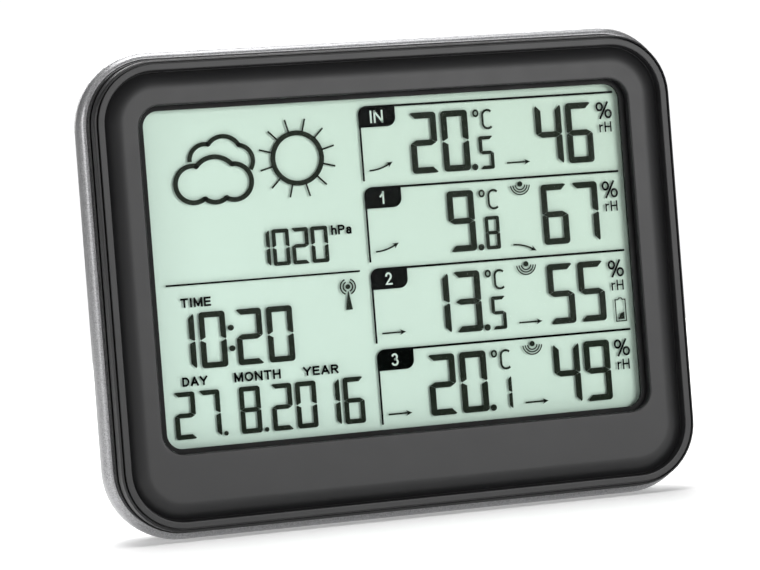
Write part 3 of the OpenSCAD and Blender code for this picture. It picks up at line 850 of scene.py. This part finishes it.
def digit(figure, x0, z0, wide, tall, thick):
    """Seven-segment figure in a cell. Every segment is cut by 45 degree mitres at the corners,
    the outer corners are round, and the uprights end in a slant at the waist."""
    x1, z1 = x0 + wide, z0 + tall
    middle = z0 + tall / 2
    radius = 0.62 * thick
    turn = np.radians(np.array([45.0, 60.0, 75.0, 90.0]))
    corner = np.stack([radius * (1 - np.cos(turn)), radius * (1 - np.sin(turn))], 1)
    bar = [(x1 - thick, z1 - thick)] + [(x1 - a, z1 - b) for a, b in corner]
    bar += [(x0 + a, z1 - b) for a, b in corner[::-1]] + [(x0 + thick, z1 - thick)]
    post = [(x1 - thick, middle + 0.49 * thick), (x1 - 0.2 * thick, middle + 0.05 * thick),
            (x1, middle + 0.24 * thick)]
    post += [(x1 - b, z1 - a) for a, b in corner[::-1]] + [(x1 - thick, z1 - thick)]
    waist = [(x0 + 0.2 * thick, middle), (x0 + thick, middle - 0.47 * thick),
             (x1 - thick, middle - 0.47 * thick), (x1 - 0.2 * thick, middle),
             (x1 - thick, middle + 0.47 * thick), (x0 + thick, middle + 0.47 * thick)]
    bar, post, waist = np.array(bar), np.array(post), np.array(waist)

    def across(rows):
        return np.stack([x0 + x1 - rows[:, 0], rows[:, 1]], 1)[::-1]

    def below(rows):
        return np.stack([rows[:, 0], z0 + z1 - rows[:, 1]], 1)[::-1]

    outlines = {"a": bar, "b": post, "c": below(post), "d": below(bar), "e": across(below(post)),
                "f": across(post), "g": waist}
    return [art_plate(outlines[name]) for name in LIT[figure]]


def art_plate(outline):
    """Printed patch of a given outline, on the artwork's own origin."""
    return plate(np.asarray(outline, float) + np.array([ART_X, ART_Z]), ART_FRONT, ART_REAR)


def art_pen(path, width, closed=False):
    """Printed stroke on the artwork's own origin."""
    return pen(np.asarray(path, float) + np.array([ART_X, ART_Z]), width, ART_FRONT, ART_REAR,
               closed)


def art_arc(x, z, wide, tall, width, start=0.0, end=360.0, steps=40):
    """Printed arc on the artwork's own origin."""
    return ring_stroke(x + ART_X, z + ART_Z, wide, tall, width, ART_FRONT, ART_REAR, start, end,
                       steps)


def dot(x, z, radius, tall=None):
    """Printed round or oval dot."""
    return art_plate(oval(x, z, radius, tall or radius, 0.0, 360.0, 25)[:-1])


def line(x0, x1, z, width):
    """Printed level line."""
    low, high = z - width / 2, z + width / 2
    return art_plate([(x0, low), (x1, low), (x1, high), (x0, high)])


def figures(text, x0, z0, wide, tall, thick, pitch):
    """A row of seven-segment figures."""
    shapes = []
    for place, figure in enumerate(text):
        shapes += digit(figure, x0 + place * pitch, z0, wide, tall, thick)
    return shapes


# Strokes of each letter in a unit box, where 1 is the height of a capital, and letter widths.
BOWL = [(0, 0.5), (0.0, 1.0), (0.6, 1.0)] + oval(0.6, 0.75, 0.4, 0.25, 80, -80) + [(0.0, 0.5)]
LETTERS = {
    "T": [[(0, 1), (1, 1)], [(0.5, 1), (0.5, 0)]],
    "I": [[(0.5, 0), (0.5, 1)]],
    "M": [[(0, 0), (0, 1)], [(0, 1), (0.5, 0.1)], [(0.5, 0.1), (1, 1)], [(1, 1), (1, 0)]],
    "E": [[(1, 1), (0, 1), (0, 0), (1, 0)], [(0, 0.52), (0.92, 0.52)]],
    "D": [[(0.3, 0), (0, 0), (0, 1), (0.4, 1)] + oval(0.4, 0.5, 0.6, 0.5, 80, -80) + [(0.3, 0)]],
    "A": [[(0, 0), (0.5, 1)], [(0.5, 1), (1, 0)], [(0.2, 0.3), (0.8, 0.3)]],
    "Y": [[(0, 1), (0.5, 0.45)], [(0.5, 0.45), (1, 1)], [(0.5, 0.5), (0.5, 0)]],
    "O": [oval(0.5, 0.5, 0.5, 0.5, 0, 370, 30)],
    "N": [[(0, 0), (0, 1)], [(0, 1), (1, 0)], [(1, 0), (1, 1)]],
    "H": [[(0, 0), (0, 1)], [(1, 0), (1, 1)], [(0, 0.52), (1, 0.52)]],
    "P": [[(0, 0), (0, 0.5)], BOWL],
    "R": [[(0, 0), (0, 0.5)], BOWL, [(0.5, 0.5), (1, 0)]],
    "h": [[(0, 0), (0, 1)], [(0, 0.4)] + oval(0.5, 0.4, 0.5, 0.28, 170, 0) + [(1, 0)]],
    "a": [oval(0.5, 0.5, 0.42, 0.2, 150, 0) + [(0.92, 0)], oval(0.47, 0.18, 0.43, 0.2, 0, 370, 22)],
    "r": [[(0, 0), (0, 0.72)], [(0, 0.4)] + oval(0.7, 0.4, 0.7, 0.28, 160, 80)],
    "%": [oval(0.2, 0.75, 0.2, 0.25, 0, 370, 24), oval(0.8, 0.25, 0.2, 0.25, 0, 370, 24),
          [(0.22, -0.02), (0.78, 1.02)]],
    "1": [[(0.7, 0), (0.7, 1)], [(0.7, 0.92), (0.1, 0.62)]],
    "2": [oval(0.5, 0.72, 0.44, 0.28, 165, -35, 16) + [(0.05, 0), (1, 0)]],
    "3": [oval(0.48, 0.76, 0.42, 0.24, 150, -80, 16), oval(0.48, 0.27, 0.5, 0.27, 80, -150, 18)],
}
WIDTHS = {"T": 0.66, "I": 0.1, "M": 0.8, "E": 0.6, "D": 0.68, "A": 0.78, "Y": 0.74, "O": 0.8,
          "N": 0.68, "H": 0.68, "P": 0.62, "R": 0.66, "h": 0.48, "a": 0.5, "r": 0.36, "%": 1.0,
          "1": 0.5, "2": 0.55, "3": 0.55}
TAB_DEPTHS = (4.852, 4.859)  # just in front of the tabs


def word(text, x0, x1, low, high, width, depths=(ART_FRONT, ART_REAR)):
    """Generic lettering drawn with a pen: each letter's strokes, fitted side by side to a box.
    Each stroke's ends are lengthened by half the pen's width."""
    gap = 0.12 + width / (high - low - width)
    wide = sum(WIDTHS[letter] for letter in text) + gap * (len(text) - 1)
    scale = (x1 - x0 - width) / wide
    tall = high - low - width
    start = x0 + width / 2
    shapes = []
    for letter in text:
        size = WIDTHS[letter] * scale
        for stroke in LETTERS[letter]:
            rows = np.array(stroke, float)
            rows = np.stack([ART_X + start + rows[:, 0] * size,
                             ART_Z + low + width / 2 + rows[:, 1] * tall], 1)
            for end, inner in ((0, 1), (-1, -2)):
                ahead = rows[end] - rows[inner]
                rows[end] += ahead * width / 2 / np.linalg.norm(ahead)
            shapes.append(pen(rows, width, *depths))
        start += size + gap * scale
    return shapes


def trend_arrow(x0, z0, kind):
    """Thin arrow for a trend: flat, rising or falling, with a barbed head."""
    share = np.linspace(0.0, 1.0, 12)
    bend = {"flat": 0.0, "rising": 1.35, "falling": -1.35}[kind]
    x = x0 + 4.9 * share
    z = z0 + bend * share ** 2
    slope = np.arctan2(2 * bend, 4.9)
    ahead = np.array([np.cos(slope), np.sin(slope)])
    side = np.array([-ahead[1], ahead[0]])
    tip = np.array([x[-1], z[-1]]) + 0.75 * ahead
    heel = tip - 1.45 * ahead
    return [art_pen(np.stack([x, z], 1), 0.38),
            art_plate([tip, heel + 0.64 * side, heel + 0.4 * ahead, heel - 0.64 * side])]


def reception(x, z):
    """Signal mark of a sensor: a dot over three lower half rings."""
    shapes = [dot(x, z + 0.15, 0.62)]
    for radius in (1.15, 1.72, 2.28):
        shapes.append(art_arc(x, z, radius, radius, 0.27, 184.0, 356.0, 24))
    return shapes


def weather_signs():
    """Two clouds and a sun. A cloud's arcs are given by X, Z, radius, start, end and width, and
    a dot fills each place where two of them meet."""
    ink = []
    arcs = ((-40.7, 24.75, 5.25, 38, 142, 1.08), (-45.7, 24.2, 4.1, 78, 306, 1.08),
            (-40.8, 23.52, 3.62, 227, 313, 1.08), (-36.4, 24.2, 4.0, -117, 91, 1.08),
            (-42.55, 29.3, 3.65, 76, 182, 1.0), (-38.4, 30.3, 4.15, 30, 144, 1.0),
            (-35.25, 28.8, 3.5, -37, 86, 1.0))
    for x, z, radius, start, end, width in arcs:
        ink.append(art_pen(oval(x, z, radius, radius, start, end, 26), width))
    joints = ((-44.84, 28.0), (-36.53, 28.08), (-43.28, 20.87), (-38.32, 20.84), (-41.75, 32.8),
              (-34.82, 32.35))
    for x, z in joints:
        ink.append(dot(x, z, 0.5))
    middle = np.array([-21.5, 28.5])
    ink.append(art_arc(*middle, 5.65, 5.65, 1.12, steps=56))
    for turn in np.radians(np.arange(15, 375, 30)):
        ray = np.array([np.cos(turn), np.sin(turn)])
        ink.append(art_pen([middle + 5.9 * ray, middle + 9.0 * ray], 0.4))
    return ink


def readings():
    """Pressure, time and date, and the mark of the time signal: segments, and printed legends."""
    ink = figures("1020", -33.3, 4.75, 3.95, 8.2, 0.88, 4.5)
    ink += figures("10", -54.05, -16.7, 6.0, 12.5, 1.28, 7.1)
    ink += figures("20", -38.6, -16.7, 6.0, 12.5, 1.28, 7.1)
    ink += [dot(-39.8, -8.15, 0.72, 0.65), dot(-39.8, -12.75, 0.72, 0.65)]
    ink += figures("27", -54.0, -32.0, 4.8, 10.5, 1.08, 5.65)
    ink += figures("8", -39.1, -32.0, 4.8, 10.5, 1.08, 5.65)
    for figure, x in (("2", -31.8), ("0", -26.15), ("1", -20.7), ("6", -15.05)):
        ink += digit(figure, x, -32.0, 4.8, 10.5, 1.08)
    ink += [dot(-42.65, -31.45, 0.52), dot(-33.3, -31.45, 0.52)]
    legend = word("hPa", -15.0, -10.15, 10.75, 12.9, 0.44)
    legend += word("TIME", -50.75, -43.85, -2.95, -0.85, 0.44)
    legend += word("DAY", -51.75, -46.0, -20.35, -18.3, 0.44)
    legend += word("MONTH", -39.9, -29.2, -20.4, -18.25, 0.44)
    legend += word("YEAR", -24.0, -15.8, -20.35, -18.3, 0.44)
    legend.append(line(-53.8, -9.0, 2.15, 0.42))
    ink.append(dot(-12.1, -1.15, 0.56))
    ink.append(art_plate([(-12.2, -2.2), (-12.9, -6.35), (-11.3, -6.35), (-12.0, -2.2)]))
    for radius in (1.1, 1.75):
        for start in (-68.0, 112.0):
            ink.append(art_arc(-12.1, -1.15, radius, radius, 0.32, start, start + 136, 20))
    return ink, legend


def sensor_rows():
    """Four rows of temperature and humidity: segments, printed legends, and names on the tabs."""
    ink = []
    legend = []
    tabs = []
    rows = (("IN", " 20", "5", "46", "rising", "flat"),
            ("1", "  9", "8", "67", "rising", "falling"),
            ("2", " 13", "5", "55", "flat", "flat"),
            ("3", " 20", "1", "49", "flat", "flat"))
    for number, (name, whole, tenth, humid, trend, humid_trend) in enumerate(rows):
        fall = -ROW_PITCH * number
        top = 39.0 + fall
        tab = oval(-4.65, top - 1.75, 1.95, 1.95, 180, 90, 8) + [(2.1, top + 0.2)]
        tab += oval(0.1, top - 2.65, 2.0, 2.0, 0, -90, 8) + [(-6.6, top - 4.65)]
        legend.append(art_plate(tab[::-1]))
        legend.append(line(2.0, 55.0, top - 0.05, 0.5))
        legend.append(art_plate([(-6.6, top - 16.75), (-6.15, top - 16.75), (-6.15, top - 4.6),
                                 (-6.6, top - 4.6)]))
        half = {"IN": 1.6, "1": 0.72}.get(name, 0.85)
        tabs += word(name, -2.4 - half, -2.4 + half, top - 3.75, top - 0.9, 0.42, TAB_DEPTHS)
        ink += figures(whole, -2.27, 23.1 + fall, 6.4, 13.9, 1.42, 7.55)
        ink += figures(tenth, 21.53, 23.1 + fall, 3.45, 7.6, 0.82, 4.0)
        ink.append(dot(20.25, 23.75 + fall, 0.74))
        ink.append(art_arc(21.25, 36.0 + fall, 0.55, 0.68, 0.44, steps=24))
        letter = (oval(24.05, 35.4 + fall, 1.2, 1.2, 42, 180, 10)
                  + oval(24.05, 33.6 + fall, 1.2, 1.2, 180, 318, 10))
        ink.append(art_pen(letter, 0.5))
        ink += figures(humid, 35.58, 23.1 + fall, 6.35, 13.9, 1.42, 7.5)
        legend += word("%", 50.6, 54.5, 32.9 + fall, 36.8 + fall, 0.46)
        legend += word("rH", 51.15, 54.15, 29.8 + fall, 32.2 + fall, 0.34)
        ink += trend_arrow(-4.9, {"rising": 24.55, "flat": 24.4}[trend] + fall, trend)
        level = {"flat": 24.2, "falling": 23.75}[humid_trend]
        ink += trend_arrow(27.95, level + fall, humid_trend)
        if number:
            ink += reception(30.65, top - 1.6)
    return ink, legend, tabs


def low_battery():
    """Mark of a low battery beside the second sensor's row."""
    frame_line = [(51.75, -9.15), (51.75, -14.1), (54.2, -14.1), (54.2, -9.15), (53.5, -9.15),
                  (53.3, -8.8), (52.65, -8.8), (52.45, -9.15)]
    return [art_pen(frame_line, 0.27, closed=True),
            art_plate([(52.15, -13.7), (53.8, -13.7), (53.8, -12.0), (52.9, -12.35)])]


reading_ink, reading_legends = readings()
row_ink, row_legends, tab_names = sensor_rows()
segments = weather_signs() + reading_ink + row_ink + low_battery()
make_piece("display_segments", joined(segments), INK)
make_piece("display_legends", joined(reading_legends + row_legends), PRINT)
make_piece("display_tab_names", joined(tab_names), PALE)


# ---------- Carried-over nodes ----------

NODE_FINISHES = {
    "display_frame": BLACK, "display_front_glass": FRONT_GLASS, "display_rear_glass": REAR_GLASS,
    "display_reflector": MINT, "elastomer_connector": STRIPES, "main_board": BOARD,
    "processor_blob": EPOXY, "clock_crystal": NICKEL, "board_capacitors": SLEEVE,
    "voltage_regulator": EPOXY, "receiver_module": BOARD, "time_antenna_rod": FERRITE,
    "time_antenna_holder": WHITE, "humidity_sensor": WHITE, "pressure_sensor": NICKEL,
    "button_board": BOARD, "tact_switches": EPOXY, "button_ribbon": WHITE,
    "contact_plates": NICKEL, "battery_leads": LEAD, "case_screws": STEEL, "board_screws": STEEL,
    "button_board_screws": STEEL, "stand_foot": RUBBER,
}
for name, material in NODE_FINISHES.items():
    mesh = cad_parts[name].data
    mesh.materials.clear()
    mesh.materials.append(material)


# ---------- Studio ----------

def studio_floor():
    """Level round floor: a row of distances in metres turned once round Z, and a middle disc."""
    reach = np.array([0.02, 0.3, 0.8, 1.4])
    sides = 96
    turn = np.linspace(0.0, 2 * np.pi, sides, endpoint=False)
    grid = np.stack([reach[:, None] * np.cos(turn), reach[:, None] * np.sin(turn),
                     np.zeros((len(reach), sides))], -1)
    faces = grid_faces(len(reach), sides)
    faces.append(list(range(sides)))
    mesh = mesh_of("studio_floor", (grid.reshape(-1, 3), faces))
    mesh.shade_smooth()
    floor = added("studio_floor", mesh)
    finish = Finish("pale_floor", gloss=0.1)
    finish.colour(finish.blend(finish.spread(finish.noise(180.0), 0.0, 1.0), "f4f4f4", "f8f8f8"))
    finish.roughness(finish.spread(finish.noise(90.0), 0.8, 0.9))
    finish.shader.inputs["Emission Color"].default_value = (1.0, 1.0, 1.0, 1.0)
    finish.shader.inputs["Emission Strength"].default_value = 0.25
    mesh.materials.append(finish.material)
    floor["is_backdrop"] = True


studio_floor()
light_room(seen=1.05, given=0.12)
soft_light("key_light", (0.75, -2.2, 0.34), size=1.0, power=30.0)
soft_light("top_light", (0.0, 0.1, 1.4), size=0.9, power=16.0)
soft_light("side_light", (-1.25, -0.4, 0.35), size=0.4, power=4.2)
soft_light("back_light", (0.25, 1.3, 0.65), size=1.0, power=16.0)
aim_camera((-182.703, -615.009, 58.349), turn=16.387, dip=0.501, roll=-4.45, lens=132.63)
bpy.context.scene.view_settings.view_transform = "Standard"
bpy.context.scene.view_settings.look = "None"

new_low, new_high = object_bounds()
({"cad": [[float(v) for v in row] for row in cad_box],
           "visual": [[float(v) for v in new_low], [float(v) for v in new_high]]})
